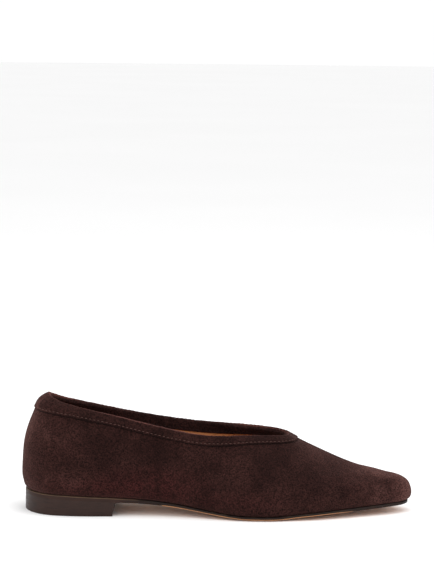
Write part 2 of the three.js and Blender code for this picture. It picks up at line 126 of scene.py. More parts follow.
def curve_through(points, places, closed):
    """Smooth curve through points, read at places from 0 to 1 along it."""
    count = len(points)
    if closed:
        walk = np.asarray(places) * count
        first = np.floor(walk).astype(int)
        held = [points[(first + k) % count] for k in (-1, 0, 1, 2)]
    else:
        walk = np.asarray(places) * (count - 1)
        first = np.minimum(np.floor(walk).astype(int), count - 2)
        longer = np.concatenate([2 * points[:1] - points[1:2], points, 2 * points[-1:] - points[-2:-1]])
        held = [longer[first + k] for k in (0, 1, 2, 3)]
    p0, p1, p2, p3 = held
    d0, d1, d2 = (np.maximum(np.linalg.norm(b - a, axis=-1, keepdims=True), 1e-9) ** 0.5
                  for a, b in ((p0, p1), (p1, p2), (p2, p3)))
    start = ((p1 - p0) / d0 - (p2 - p0) / (d0 + d1) + (p2 - p1) / d1) * d1
    end = ((p2 - p1) / d1 - (p3 - p1) / (d1 + d2) + (p3 - p2) / d2) * d1
    w = (walk - first).reshape((-1,) + (1,) * (points.ndim - 1))
    return p1 + start * w + (3 * (p2 - p1) - 2 * start - end) * w**2 + (2 * (p1 - p2) + start + end) * w**3


def sole_bottom(x):
    """Height of the sole's underside above the floor at x from the back of the shoe."""
    at = underside[:, 0]
    height = underside[:, 1] * heel_height + underside[:, 2] * toe_spring
    place = np.asarray(x, float) / shoe_length
    i = np.clip(np.searchsorted(at, place) - 1, 0, len(at) - 2)
    slope = np.diff(height) / np.diff(at)
    last = len(slope) - 1

    def ease(a, b):
        return np.where(a * b <= 0, 0, 2 * a * b / np.where(a + b == 0, 1, a + b))

    span = np.diff(at)[i]
    t = (place - at[i]) / span
    start = ease(slope[np.maximum(i - 1, 0)], slope[i]) * span
    end = ease(slope[i], slope[np.minimum(i + 1, last)]) * span
    rise = np.diff(height)[i]
    return height[i] + start * t + (3 * rise - 2 * start - end) * t**2 + (start + end - 2 * rise) * t**3


def soft_step(start, end, value):
    share = np.clip((value - start) / (end - start), 0, 1)
    return share * share * (3 - 2 * share)


foot_corners = np.stack([ribs[:, 0] * shoe_length, ribs[:, 1] * ball_width, np.zeros(len(ribs))], axis=1)
round_shoe = np.arange(stations) / stations


def foot_line(places, outward=0.0):
    """The line where the upper turns under, in plan, moved outwards."""
    places = np.asarray(places, float) % 1
    nudge = 1e-4
    way = (curve_through(foot_corners, (places + nudge) % 1, True)
           - curve_through(foot_corners, (places - nudge) % 1, True))
    way /= np.linalg.norm(way, axis=-1, keepdims=True)
    side = np.stack([way[:, 1], -way[:, 0], way[:, 2]], axis=1)
    return curve_through(foot_corners, places, True) + side * np.reshape(outward, (-1, 1))


def upper_skin():
    """Points of the upper's outer face by step up a rib and by station round the shoe."""
    places = np.arange(len(ribs)) / len(ribs)
    outward = foot_line(places, 1.0) - foot_line(places)
    back, toe = ribs[:, 6], ribs[:, 7]
    side = 1 - back - toe
    foot_height = sole_bottom(foot_corners[:, 0]) + sole_thickness + seam_gap
    top = ribs[:, 2:5] * (shoe_length, ball_width, back_height)
    rows = []
    for side_in, side_up, toe_in, toe_up, back_in, swell in profile:
        share = side * side_in + back * back_in + toe * toe_in
        up = (side + back) * side_up + toe * toe_up
        point = foot_corners + (top - foot_corners) * share[:, None]
        point += outward * (ribs[:, 5] * ball_width * swell)[:, None]
        point[:, 2] = foot_height + (top[:, 2] - foot_height) * up
        rows.append(point)
    rings = curve_through(np.stack(rows, axis=1), round_shoe, True)
    return curve_through(rings.transpose(1, 0, 2), np.arange(rib_steps + 1) / rib_steps, False)


skin = upper_skin()
around = np.roll(skin, -1, axis=1) - np.roll(skin, 1, axis=1)
upwards = np.gradient(skin, axis=0)
skin_out = np.cross(around, upwards)
skin_out /= np.linalg.norm(skin_out, axis=2, keepdims=True)
skin_up = upwards / np.linalg.norm(upwards, axis=2, keepdims=True)
below_edge = np.zeros(skin.shape[:2])
below_edge[:-1] = np.cumsum(np.linalg.norm(np.diff(skin, axis=0), axis=2)[::-1], axis=0)[::-1]
height_share = (skin[:, :, 2] - skin[:1, :, 2]) / (skin[-1:, :, 2] - skin[:1, :, 2])

# Soft troughs and ridges from lasting and wear: middle along and up, reach along and up, lean, height, side
creases = [
    (0.255, 0.45, 0.030, 0.42, 0.10, -0.00045, -1),
    (0.300, 0.50, 0.026, 0.40, 0.10, 0.00030, -1),
    (0.445, 0.42, 0.034, 0.40, -0.12, -0.00050, -1),
    (0.500, 0.45, 0.030, 0.40, -0.10, 0.00035, -1),
    (0.590, 0.55, 0.026, 0.36, 0.16, -0.00040, -1),
    (0.100, 0.30, 0.030, 0.22, 0.00, -0.00030, -1),
    (0.700, 0.36, 0.034, 0.26, 0.14, -0.00028, -1),
    (0.270, 0.42, 0.030, 0.40, 0.10, -0.00045, 1),
    (0.430, 0.40, 0.030, 0.38, -0.10, -0.00050, 1),
    (0.480, 0.42, 0.028, 0.38, -0.08, 0.00035, 1),
    (0.600, 0.52, 0.026, 0.34, 0.14, -0.00035, 1),
    (0.120, 0.32, 0.030, 0.24, 0.00, -0.00028, 1),
]
collar_fade, foot_fade, side_fade = (0.009, 0.020), (0.02, 0.12), (0.0, 0.10)
relief = np.zeros(skin.shape[:2])
for middle, up, reach, spread, lean, height, side in creases:
    along = (skin[:, :, 0] / shoe_length - middle - lean * (height_share - up)) / reach
    over = (height_share - up) / spread
    facing = soft_step(*side_fade, side * skin[:, :, 1] / ball_width)
    relief += height * np.exp(-along**2 - over**2) * facing
relief *= soft_step(*collar_fade, below_edge) * soft_step(*foot_fade, height_share)
smooth_skin = skin.copy()
skin += skin_out * relief[:, :, None]


def steps_at(depth):
    """Steps up the ribs at a distance below the collar's edge, one for each station."""
    depth = np.broadcast_to(depth, stations)
    climb = np.arange(rib_steps + 1)
    return np.array([np.interp(-depth[n], -below_edge[:, n], climb) for n in range(stations)])


def at_step(table, steps):
    """Values of a table of the skin at a step up the rib, one for each station."""
    low = np.minimum(np.floor(steps).astype(int), rib_steps - 1)
    share = (steps - low)[:, None]
    each = np.arange(stations)
    return table[low, each] * (1 - share) + table[low + 1, each] * share


def at_depth(table, depth):
    """Values of a table of the skin at a distance below the collar's edge, one for each station."""
    return at_step(table, steps_at(depth))


def lathe(rows, stride=1):
    """Points and quads of a closed skin through rows of points that each run once round the shoe."""
    rows = [row[::stride] for row in rows]
    count, size = len(rows), len(rows[0])
    quads = []
    for i in range(count):
        here, there = i * size, (i + 1) % count * size
        for j in range(size):
            k = (j + 1) % size
            quads.append((here + j, here + k, there + k, there + j))
    return np.concatenate(rows), quads


def make_piece(name, points, faces, materials, face_slots, sharp=35):
    """A smooth-shaded mesh piece; edges over the sharp angle, in degrees, stay sharp."""
    mesh = bpy.data.meshes.new(name)
    mesh.from_pydata([tuple(map(float, p)) for p in points], [], [tuple(map(int, f)) for f in faces])
    for material in materials:
        mesh.materials.append(material)
    mesh.polygons.foreach_set("material_index", np.asarray(face_slots, dtype=np.int32))
    mesh.polygons.foreach_set("use_smooth", np.ones(len(faces), dtype=bool))
    mesh.update()
    mesh.set_sharp_from_angle(angle=math.radians(sharp))
    piece = bpy.data.objects.new(name, mesh)
    bpy.context.scene.collection.objects.link(piece)
    return piece


# Every piece is moved in plan by as much as brings the skin to where the frame holds the upper
held = np.array(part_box("upper")).mean(axis=0)
drawn = (skin.min(axis=(0, 1)) + skin.max(axis=(0, 1))) / 2
shift = (held - drawn) * (1, 1, 0)

# Distance between the columns and the lines of nodes in the shader editor
node_spacing = (180, 160)


def node(tree, kind, place, **settings):
    """A shader node at a place in columns and lines, with its settings."""
    made = tree.nodes.new(kind)
    made.location = (place[0] * node_spacing[0], place[1] * node_spacing[1])
    for key, value in settings.items():
        setattr(made, key, value)
    return made


def new_group(name, inputs, outputs):
    """An empty shader group with named sockets, and its two ends."""
    tree = bpy.data.node_groups.new(name, "ShaderNodeTree")
    for label, kind, value in inputs:
        socket = tree.interface.new_socket(name=label, in_out="INPUT", socket_type=kind)
        socket.default_value = value
    for label, kind in outputs:
        tree.interface.new_socket(name=label, in_out="OUTPUT", socket_type=kind)
    return tree, node(tree, "NodeGroupInput", (-6, 0)), node(tree, "NodeGroupOutput", (6, 0))


def feed(tree, sockets, values):
    """Sockets linked to other sockets or set to values."""
    for socket, value in zip(sockets, values):
        if isinstance(value, bpy.types.NodeSocket):
            tree.links.new(value, socket)
        else:
            socket.default_value = value


def mix_colors(tree, place, amount, first, second, blend="MIX"):
    """Colour of two sockets or values mixed by a socket or value."""
    made = node(tree, "ShaderNodeMix", place, data_type="RGBA", blend_type=blend)
    feed(tree, (made.inputs[0], made.inputs[6], made.inputs[7]), (amount, first, second))
    return made.outputs[2]


def math_on(tree, place, operation, first, second=0.0, third=0.0):
    """A number worked out from sockets or values."""
    made = node(tree, "ShaderNodeMath", place, operation=operation)
    feed(tree, made.inputs, (first, second, third))
    return made.outputs[0]


def spread_values(tree, place, value, from_low, from_high, to_low=0.0, to_high=1.0):
    """A value stretched smoothly from one range to another and held at its ends."""
    made = node(tree, "ShaderNodeMapRange", place, interpolation_type="SMOOTHSTEP")
    feed(tree, made.inputs, (value, from_low, from_high, to_low, to_high))
    return made.outputs[0]


def noise(tree, place, where, size, detail=2.0, roughness=0.5, distortion=0.0):
    """Noise whose patches are about as large as size, in metres."""
    made = node(tree, "ShaderNodeTexNoise", place)
    made.inputs["Scale"].default_value = 1 / size
    made.inputs["Detail"].default_value = detail
    made.inputs["Roughness"].default_value = roughness
    made.inputs["Distortion"].default_value = distortion
    tree.links.new(where, made.inputs["Vector"])
    return made.outputs["Fac"]


def new_material(name):
    """A material with its node tree and its shader."""
    material = bpy.data.materials.new(name)
    material.use_nodes = True
    return material, material.node_tree, material.node_tree.nodes["Principled BSDF"]


def cover_with(tree, shader, color, roughness, height, strength, distance):
    """Colour and roughness on the shader, and a height as its bump."""
    bump = node(tree, "ShaderNodeBump", (-1, -2))
    bump.inputs["Strength"].default_value = strength
    bump.inputs["Distance"].default_value = distance
    tree.links.new(height, bump.inputs["Height"])
    tree.links.new(color, shader.inputs["Base Color"])
    tree.links.new(roughness, shader.inputs["Roughness"])
    tree.links.new(bump.outputs["Normal"], shader.inputs["Normal"])


def spot_and_axes(tree):
    """The place on the piece, whole and split into its axes."""
    spot = node(tree, "ShaderNodeTexCoord", (-8, 0)).outputs["Object"]
    axes = node(tree, "ShaderNodeSeparateXYZ", (-7, 0))
    tree.links.new(spot, axes.inputs[0])
    return spot, axes


# Nap of suede: brushed patches, fine speckle of fibres, and redder places where the dye shows through
cloud_size, smear_size, fibre_size, speck_size = 0.030, 0.0080, 0.0011, 0.00045
nap, nap_in, nap_out = new_group(
    "suede nap",
    [("Deep", "NodeSocketColor", (0.02, 0.008, 0.008, 1)),
     ("Brown", "NodeSocketColor", (0.04, 0.016, 0.015, 1)),
     ("Brushed", "NodeSocketColor", (0.09, 0.042, 0.038, 1)),
     ("Dye", "NodeSocketColor", (0.06, 0.014, 0.016, 1)),
     ("Raised and highlight", "NodeSocketFloat", 0.0), ("Dyed", "NodeSocketFloat", 0.0)],
    [("Color", "NodeSocketColor"), ("Roughness", "NodeSocketFloat"), ("Height", "NodeSocketFloat")])
where = node(nap, "ShaderNodeTexCoord", (-6, -3)).outputs["Object"]
cloud = noise(nap, (-4, 3), where, cloud_size, 2, 0.45, 0.3)
smear = noise(nap, (-4, 1), where, smear_size, 3, 0.55, 0.5)
fibre = noise(nap, (-4, -1), where, fibre_size, 4, 0.72)
speck = noise(nap, (-4, -3), where, speck_size, 2, 0.7)
clouded = spread_values(nap, (-3, 3), cloud, 0.34, 0.68)
smeared = spread_values(nap, (-3, 1), smear, 0.32, 0.70)
fibrous = spread_values(nap, (-3, -1), fibre, 0.38, 0.62)
specked = spread_values(nap, (-3, -3), speck, 0.40, 0.60)
patches = math_on(nap, (-2, 3), "MULTIPLY_ADD", clouded, 0.42, 0.15)
patches = math_on(nap, (-2, 2), "MULTIPLY_ADD", smeared, 0.28, patches)
raised_and_highlight = math_on(nap, (-1, 2), "ADD", patches, nap_in.outputs["Raised and highlight"])
lifted = spread_values(nap, (0, 4), raised_and_highlight, 0.15, 0.75)
brushed = spread_values(nap, (1, 4), raised_and_highlight, 0.75, 1.6)
dyed = spread_values(nap, (0, 1), smear, 0.30, 0.62, 0.35, 1.0)
dyed = math_on(nap, (1, 1), "MULTIPLY", nap_in.outputs["Dyed"], dyed)
body = mix_colors(nap, (0, 3), lifted, nap_in.outputs["Deep"], nap_in.outputs["Brown"])
body = mix_colors(nap, (1, 3), brushed, body, nap_in.outputs["Brushed"])
body = mix_colors(nap, (2, 3), dyed, body, nap_in.outputs["Dye"])
grain = math_on(nap, (-1, -2), "MULTIPLY", specked, 0.45)
grain = math_on(nap, (0, -1), "MULTIPLY_ADD", fibrous, 0.55, grain)
tone = math_on(nap, (1, -1), "MULTIPLY_ADD", grain, 1.90, 0.05)
toned = node(nap, "ShaderNodeCombineColor", (2, -1))
feed(nap, toned.inputs, (tone, tone, tone))
nap.links.new(mix_colors(nap, (3, 2), 1.0, body, toned.outputs[0], "MULTIPLY"), nap_out.inputs["Color"])
nap.links.new(math_on(nap, (3, -1), "MULTIPLY_ADD", grain, -0.12, 0.98), nap_out.inputs["Roughness"])
nap.links.new(math_on(nap, (3, -3), "MULTIPLY_ADD", smeared, 0.35, grain), nap_out.inputs["Height"])

# Lighter and darker places in the nap, partly brushed and pressed nap, partly painted highlight and shade
# such as the lighter top of the vamp: middle along, across and up, reach along, across and up, amount
nap_and_shading_marks = [
    (0.067, -0.008, 0.043, 0.016, 0.022, 0.010, 0.45),
    (0.092, 0.002, 0.031, 0.030, 0.022, 0.009, 0.30),
    (0.055, -0.030, 0.036, 0.020, 0.026, 0.018, -0.34),
    (0.090, -0.026, 0.018, 0.022, 0.022, 0.015, -0.24),
    (0.030, -0.034, 0.031, 0.014, 0.026, 0.022, -0.26),
    (0.018, -0.034, 0.040, 0.012, 0.024, 0.012, 0.26),
    (-0.018, -0.032, 0.040, 0.018, 0.022, 0.026, 0.20),
    (-0.045, -0.030, 0.042, 0.016, 0.022, 0.020, -0.24),
    (-0.078, -0.030, 0.040, 0.022, 0.022, 0.014, -0.24),
    (-0.095, -0.026, 0.024, 0.024, 0.022, 0.011, 0.55),
    (-0.106, -0.022, 0.046, 0.016, 0.022, 0.020, 0.30),
    (-0.070, 0.030, 0.038, 0.030, 0.022, 0.020, -0.24),
    (-0.020, 0.030, 0.034, 0.024, 0.024, 0.016, 0.22),
    (0.030, 0.032, 0.030, 0.026, 0.026, 0.018, -0.24),
    (0.070, 0.026, 0.030, 0.022, 0.022, 0.012, 0.24),
]
# Places low on the sides where more of the redder dye shows, in the same order
dye_marks = [
    (-0.048, -0.028, 0.020, 0.046, 0.028, 0.015, 0.95),
    (-0.096, -0.024, 0.019, 0.030, 0.024, 0.010, 0.40),
    (0.012, -0.034, 0.012, 0.040, 0.020, 0.010, 0.40),
    (-0.040, 0.026, 0.018, 0.060, 0.026, 0.014, 0.70),
]


def marks_on(tree, spot, line, marks):
    """The sum of soft marks, each with its own middle, reach and amount."""
    fade_end = 1.3
    total = 0.0
    for row, (x, y, z, along, across, up, amount) in enumerate(marks):
        off = node(tree, "ShaderNodeVectorMath", (-13, line - row), operation="MULTIPLY_ADD")
        tree.links.new(spot, off.inputs[0])
        off.inputs[1].default_value = (1 / along, 1 / across, 1 / up)
        off.inputs[2].default_value = (-x / along, -y / across, -z / up)
        far = node(tree, "ShaderNodeVectorMath", (-12, line - row), operation="LENGTH")
        tree.links.new(off.outputs[0], far.inputs[0])
        soft = spread_values(tree, (-11, line - row), far.outputs["Value"], 0.0, fade_end, amount, 0.0)
        total = math_on(tree, (-10, line - row), "ADD", soft, total)
    return total


# Painted highlights on the nap over the toe tip and the back of the heel: their strength and reach along the
# shoe
toe_highlight, toe_highlight_reach = 0.85, (0.074, 0.134)
heel_highlight, heel_highlight_reach = 0.62, (-0.132, -0.102)


def highlights_and_brushed_places(tree, spot, axes):
    """Where the nap is lighter: a painted highlight over the toe tip and the back of the heel, and the marks.
    """
    toe = spread_values(tree, (-6, 2), axes.outputs["X"], *toe_highlight_reach, 0.0, toe_highlight)
    heel = spread_values(tree, (-6, 3), axes.outputs["X"], *heel_highlight_reach, heel_highlight, 0.0)
    ends = math_on(tree, (-5, 3), "ADD", toe, heel)
    return math_on(tree, (-5, 2), "ADD", ends, marks_on(tree, spot, 16, nap_and_shading_marks))


def suede(name, deep, brown, brushed, dye, fibre_height=0.00022):
    """A suede material, with the brushed and dyed places of this shoe in its nap, and its painted highlights
    and shade.
    """
    material, tree, shader = new_material(name)
    cover = node(tree, "ShaderNodeGroup", (-3, 0), node_tree=nap)
    for label, colour in (("Deep", deep), ("Brown", brown), ("Brushed", brushed), ("Dye", dye)):
        cover.inputs[label].default_value = (*colour, 1)
    spot, axes = spot_and_axes(tree)
    tree.links.new(highlights_and_brushed_places(tree, spot, axes), cover.inputs["Raised and highlight"])
    tree.links.new(marks_on(tree, spot, -2, dye_marks), cover.inputs["Dyed"])
    cover_with(tree, shader, *cover.outputs, 0.8, fibre_height)
    shader.inputs["Specular IOR Level"].default_value = 0.08
    shader.inputs["Sheen Weight"].default_value = 0.30
    shader.inputs["Sheen Roughness"].default_value = 0.42
    shader.inputs["Sheen Tint"].default_value = (0.36, 0.17, 0.15, 1)
    return material


upper_suede = suede("upper_suede", (0.0125, 0.0040, 0.0033), (0.0235, 0.0084, 0.0070),
                    (0.066, 0.0280, 0.0240), (0.031, 0.0076, 0.0070))

# Full-grain leather: fine pebbled grain, pores, and a slow change of tone from handling
hide, hide_in, hide_out = new_group(
    "leather grain",
    [("Dark", "NodeSocketColor", (0.2, 0.08, 0.03, 1)),
     ("Light", "NodeSocketColor", (0.45, 0.2, 0.09, 1)),
     ("Grain size", "NodeSocketFloat", 0.001),
     ("Base roughness", "NodeSocketFloat", 0.5),
     ("Worn", "NodeSocketFloat", 0.0)],
    [("Color", "NodeSocketColor"), ("Roughness", "NodeSocketFloat"), ("Height", "NodeSocketFloat")])
handling_size, mottle_size = 0.018, 0.0024
where = node(hide, "ShaderNodeTexCoord", (-6, -3)).outputs["Object"]
slow = noise(hide, (-4, 2), where, handling_size, 3, 0.5, 0.4)
quick = noise(hide, (-4, 0), where, mottle_size, 4, 0.6)
cells = node(hide, "ShaderNodeTexVoronoi", (-4, -2), feature="DISTANCE_TO_EDGE")
hide.links.new(where, cells.inputs["Vector"])
hide.links.new(math_on(hide, (-5, -2), "DIVIDE", 1.0, hide_in.outputs["Grain size"]), cells.inputs["Scale"])
pebble = spread_values(hide, (-3, -2), cells.outputs["Distance"], 0.0, 0.22)
pores = spread_values(hide, (0, -1), pebble, 0.0, 1.0, 0.28, 0.0)
tone = math_on(hide, (-3, 0), "MULTIPLY", quick, 0.4)
tone = math_on(hide, (-2, 1), "MULTIPLY_ADD", spread_values(hide, (-3, 2), slow, 0.3, 0.7), 0.6, tone)
tone = math_on(hide, (-1, 1), "SUBTRACT", tone, hide_in.outputs["Worn"])
toned = mix_colors(hide, (0, 1), tone, hide_in.outputs["Dark"], hide_in.outputs["Light"])
toned = mix_colors(hide, (1, 1), pores, toned, hide_in.outputs["Dark"])
matt = math_on(hide, (1, -1), "MULTIPLY_ADD", quick, 0.18, hide_in.outputs["Base roughness"])
hide.links.new(toned, hide_out.inputs["Color"])
hide.links.new(matt, hide_out.inputs["Roughness"])
hide.links.new(math_on(hide, (1, -2), "MULTIPLY_ADD", quick, 0.5, pebble), hide_out.inputs["Height"])


def leather(name, dark, light, grain_size, roughness, height, worn_by=None):
    """A smooth leather material; worn_by builds the mask of the rubbed places."""
    material, tree, shader = new_material(name)
    cover = node(tree, "ShaderNodeGroup", (-3, 0), node_tree=hide)
    feed(tree, cover.inputs, ((*dark, 1), (*light, 1), grain_size, roughness))
    if worn_by:
        tree.links.new(worn_by(tree, spot_and_axes(tree)[1]), cover.inputs["Worn"])
    cover_with(tree, shader, *cover.outputs, 0.6, height)
    shader.inputs["Specular IOR Level"].default_value = 0.4
    return material


# A narrow ring of the upper under the binding's lower edge, in darker suede as the painted shadow of the band
band_shadow_suede = suede("band_shadow_suede", (0.0060, 0.0022, 0.0019), (0.0105, 0.0040, 0.0034),
                      (0.020, 0.0080, 0.0070), (0.011, 0.0032, 0.0030))
lining_leather = leather("lining_leather", (0.42, 0.155, 0.052), (0.64, 0.27, 0.105), 0.0009, 0.46, 0.00006)

binding_outside = 0.0063
binding_back = 0.0130
back_focus = 1.3
band_shadow_width = 0.0006
outside_cuts = 60
back_share = curve_through(ribs[:, 6:7], round_shoe, True)[:, 0].clip(0, 1)
band_depth = binding_outside + (binding_back - binding_outside) * back_share**back_focus
band_step, band_shadow_step = steps_at(band_depth), steps_at(band_depth + band_shadow_width)
below_band = [band_shadow_step * share for share in np.linspace(0, 1, outside_cuts)]
under_band = [band_step + (rib_steps - band_step) * share for share in (0.0, 0.3, 0.6, 0.85, 1.0)]
outside_steps = below_band + under_band
outside = [at_step(skin, steps) for steps in outside_steps]
inside = [at_step(smooth_skin, steps) - at_step(skin_out, steps) * wall for steps in outside_steps[::-2]]
inside[-1] = foot_line(round_shoe, -wall / 2)
inside[-1][:, 2] = outside[0][:, 2] + wall
margin_edge = foot_line(round_shoe, -lasting_margin)
margin_edge[:, 2] = sole_bottom(margin_edge[:, 0]) + sole_thickness + seam_gap
points, quads = lathe([margin_edge] + outside + inside + [margin_edge + (0, 0, wall)], upper_stride)
# The face row just under the band takes the darker suede, a painted shadow line below the band's edge
slots = [0] * outside_cuts + [2] + [0] * len(under_band) + [1] * len(inside) + [0]
upper = make_piece("suede_upper", points + shift, quads, [upper_suede, lining_leather, band_shadow_suede],
                   np.repeat(slots, stations // upper_stride))
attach(upper, "root")
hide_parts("upper")

# The topline binding is a strip of the same suede folded over the collar's edge, with a thin elastic in
# the fold. The elastic gathers it into small waves, and one row of stitches holds both of its legs.
binding_inside = 0.0072
edge, edge_out, edge_up = (at_depth(table, 0.0) for table in (skin, skin_out, skin_up))
way_round = np.concatenate([[0], np.cumsum(np.linalg.norm(np.diff(edge, axis=0), axis=1))])
collar_length = way_round[-1] + np.linalg.norm(edge[0] - edge[-1])
turns = way_round / collar_length * 2 * math.pi
# Waves of the gathered fold: how many round the collar, where they start, height
gather_waves = [(131, 0.3, 0.00005), (139, 1.7, 0.00004), (53, 4.1, 0.00004), (29, 2.2, 0.00005)]
gathers = sum(height * np.sin(count * turns + start) for count, start, height in gather_waves)
throat_at, throat_reach, throat_calm = 0.68, 0.035, 0.7
gathers *= 1 - throat_calm * np.exp(-((edge[:, 0] / shoe_length - throat_at) / throat_reach) ** 2)

binding_suede = suede("binding_suede", (0.0110, 0.0036, 0.0030), (0.0205, 0.0074, 0.0062),
                      (0.070, 0.0290, 0.0250), (0.024, 0.0060, 0.0058), 0.00018)
# Paler suede on the outer shoulder of the fold: nap worn by rubbing, and a painted highlight along the fold's
# edge
fold_wear_and_highlight = suede("fold_wear_and_highlight", (0.030, 0.0100, 0.0080), (0.064, 0.0225, 0.0180),
                   (0.125, 0.0500, 0.0410), (0.040, 0.0120, 0.0110), 0.00018)
# Near black suede for the band's lowest rows round its cut edge, as painted shade under the band
band_edge_shade = suede("band_edge_shade", (0.0045, 0.0018, 0.0016), (0.0080, 0.0030, 0.0026),
                 (0.012, 0.0050, 0.0044), (0.008, 0.0026, 0.0024), 0.00012)

# Distance above the band's lower edge, height above the skin, share of the gathers
outer_foot = [
    (0.0000, 0.00035, 0.1), (0.0000, 0.00070, 0.1), (0.0002, 0.00094, 0.1), (0.0006, 0.00104, 0.2),
    (0.0010, 0.00090, 0.2), (0.0013, 0.00076, 0.2), (0.0016, 0.00086, 0.3), (0.0021, 0.00100, 0.4),
]
# Share of the way on to the collar's edge, height above the skin, share of the gathers
outer_leg = [
    (0.16, 0.00108, 0.6), (0.34, 0.00112, 0.7), (0.52, 0.00108, 0.8), (0.68, 0.00112, 0.9),
    (0.82, 0.00120, 1.0), (0.92, 0.00120, 1.0),
]
# Share of the inside depth, height above the lining, share of the gathers
inner_leg = [
    (0.06, 0.00120, 1.0), (0.16, 0.00120, 1.0), (0.27, 0.00112, 0.9), (0.40, 0.00108, 0.7),
    (0.54, 0.00104, 0.5), (0.68, 0.00098, 0.3), (0.77, 0.00080, 0.2), (0.86, 0.00096, 0.2),
    (0.95, 0.00098, 0.1), (0.99, 0.00080, 0.1), (1.00, 0.00060, 0.1), (1.00, 0.00035, 0.1),
]
fold_height = 0.0012
fold_angles = np.radians([22, 45, 68, 90, 112, 135, 158])
highlight_and_wear_above = 0.2
shaded_edge_rows = 2


def off_skin(depth, lift):
    """The line round the shoe at a depth below the collar's edge and a height above the skin."""
    return at_depth(skin, depth) + at_depth(skin_out, depth) * np.reshape(lift, (-1, 1))


rows = [off_skin(band_depth - rise, lift + gather * gathers) for rise, lift, gather in outer_foot]
rows += [off_skin((band_depth - outer_foot[-1][0]) * (1 - share), lift + gather * gathers)
         for share, lift, gather in outer_leg]
# The band's lowest face rows take the near black suede, a painted shade line along its edge
slots = [2] * shaded_edge_rows + [0] * (len(rows) - shaded_edge_rows)
# The fold's outer shoulder takes the paler suede: worn nap with a painted highlight
for across, over in zip(np.cos(fold_angles), np.sin(fold_angles)):
    rows.append(edge - edge_out * wall / 2
                + edge_out * (across * (wall / 2 + fold_height) + across * gathers)[:, None]
                + edge_up * (over * fold_height + over * 1.1 * gathers)[:, None])
    slots.append(1 if across > highlight_and_wear_above else 0)
rows += [off_skin(binding_inside * share, -(wall + lift - gather * gathers))
         for share, lift, gather in inner_leg]
rows += [off_skin(depth, -(wall + seam_gap))
         for depth in (binding_inside * 0.99, binding_inside * 0.5, 0.0004)]
rows.append(edge - edge_out * (wall + seam_gap) + edge_up * seam_gap)
rows.append(edge + edge_out * seam_gap + edge_up * seam_gap)
rows += [off_skin(band_depth * share, seam_gap) for share in (0.06, 0.5, 0.98)]
# The last face row, under the band's edge, also takes the painted shade suede
slots += [0] * (len(rows) - len(slots) - 1) + [2]
points, quads = lathe(rows)
binding = make_piece("collar_binding", points + shift, quads, [binding_suede, fold_wear_and_highlight, band_edge_shade],
                     np.repeat(slots, stations), 60)
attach(binding, "root")
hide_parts("topline_binding")

# The stitches are one lockstitched row of pinkish brown thread, about nine to the inch. It pulls a shallow
# channel into the binding, a little above its lower edge, outside and inside.
stitch_pitch = 0.0028
stitch_length = 0.0016
stitch_arch = 0.00014
stitch_sink = 0.00004
stitch_cuts = 6
thread_radius = 0.00020
thread_sides = 6
blunt_end = 0.02


def thread_material(name, colour):
    """Twisted thread: fine slanting plies, matt."""
    material, tree, shader = new_material(name)
    spot = node(tree, "ShaderNodeTexCoord", (-7, 0)).outputs["Object"]
    plies = node(tree, "ShaderNodeTexWave", (-5, 0), wave_type="BANDS", bands_direction="DIAGONAL")
    plies.inputs["Scale"].default_value = 900
    plies.inputs["Distortion"].default_value = 0.6
    tree.links.new(spot, plies.inputs["Vector"])
    dark = [0.55 * part for part in colour]
    lit = spread_values(tree, (-3, 0), plies.outputs["Fac"], 0.2, 0.8)
    matt = spread_values(tree, (-3, -2), noise(tree, (-5, -2), spot, 0.0009), 0.3, 0.7, 0.6, 0.85)
    cover_with(tree, shader, mix_colors(tree, (-2, 0), lit, (*dark, 1), (*colour, 1)), matt,
               plies.outputs["Fac"], 0.5, 0.00005)
    shader.inputs["Specular IOR Level"].default_value = 0.15
    return material


def stitch_row(name, line, out, material):
    """One mesh of short rounded stitches along a closed line of points."""
    closed, facing = np.concatenate([line, line[:1]]), np.concatenate([out, out[:1]])
    walked = np.concatenate([[0], np.cumsum(np.linalg.norm(np.diff(closed, axis=0), axis=1))])
    count = int(round(walked[-1] / stitch_pitch))
    along = np.linspace(0, 1, stitch_cuts + 1)
    radius = thread_radius * np.sqrt(np.clip(1 - (2 * along - 1) ** 4, blunt_end, 1))
    turn = 2 * math.pi * np.arange(thread_sides) / thread_sides
    points, faces = [], []
    for s in range(count):
        place = (walked[-1] * s / count + along * stitch_length) % walked[-1]
        spine, up = (np.stack([np.interp(place, walked, table[:, k]) for k in range(3)], axis=1)
                     for table in (closed, facing))
        up /= np.linalg.norm(up, axis=1, keepdims=True)
        spine += up * (stitch_arch * np.sin(math.pi * along) - stitch_sink)[:, None]
        way = np.gradient(spine, axis=0)
        way /= np.linalg.norm(way, axis=1, keepdims=True)
        side = np.cross(way, up)
        first = len(points)
        for i in range(stitch_cuts + 1):
            points += [spine[i] + (up[i] * math.sin(t) + side[i] * math.cos(t)) * radius[i] for t in turn]
        for i in range(stitch_cuts):
            here, there = first + i * thread_sides, first + (i + 1) * thread_sides
            for j in range(thread_sides):
                k = (j + 1) % thread_sides
                faces.append((here + j, here + k, there + k, there + j))
        last = first + stitch_cuts * thread_sides
        faces.append(tuple(range(first, first + thread_sides))[::-1])
        faces.append(tuple(range(last, last + thread_sides)))
    piece = make_piece(name, np.array(points) + shift, faces, [material], [0] * len(faces), 80)
    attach(piece, "root")


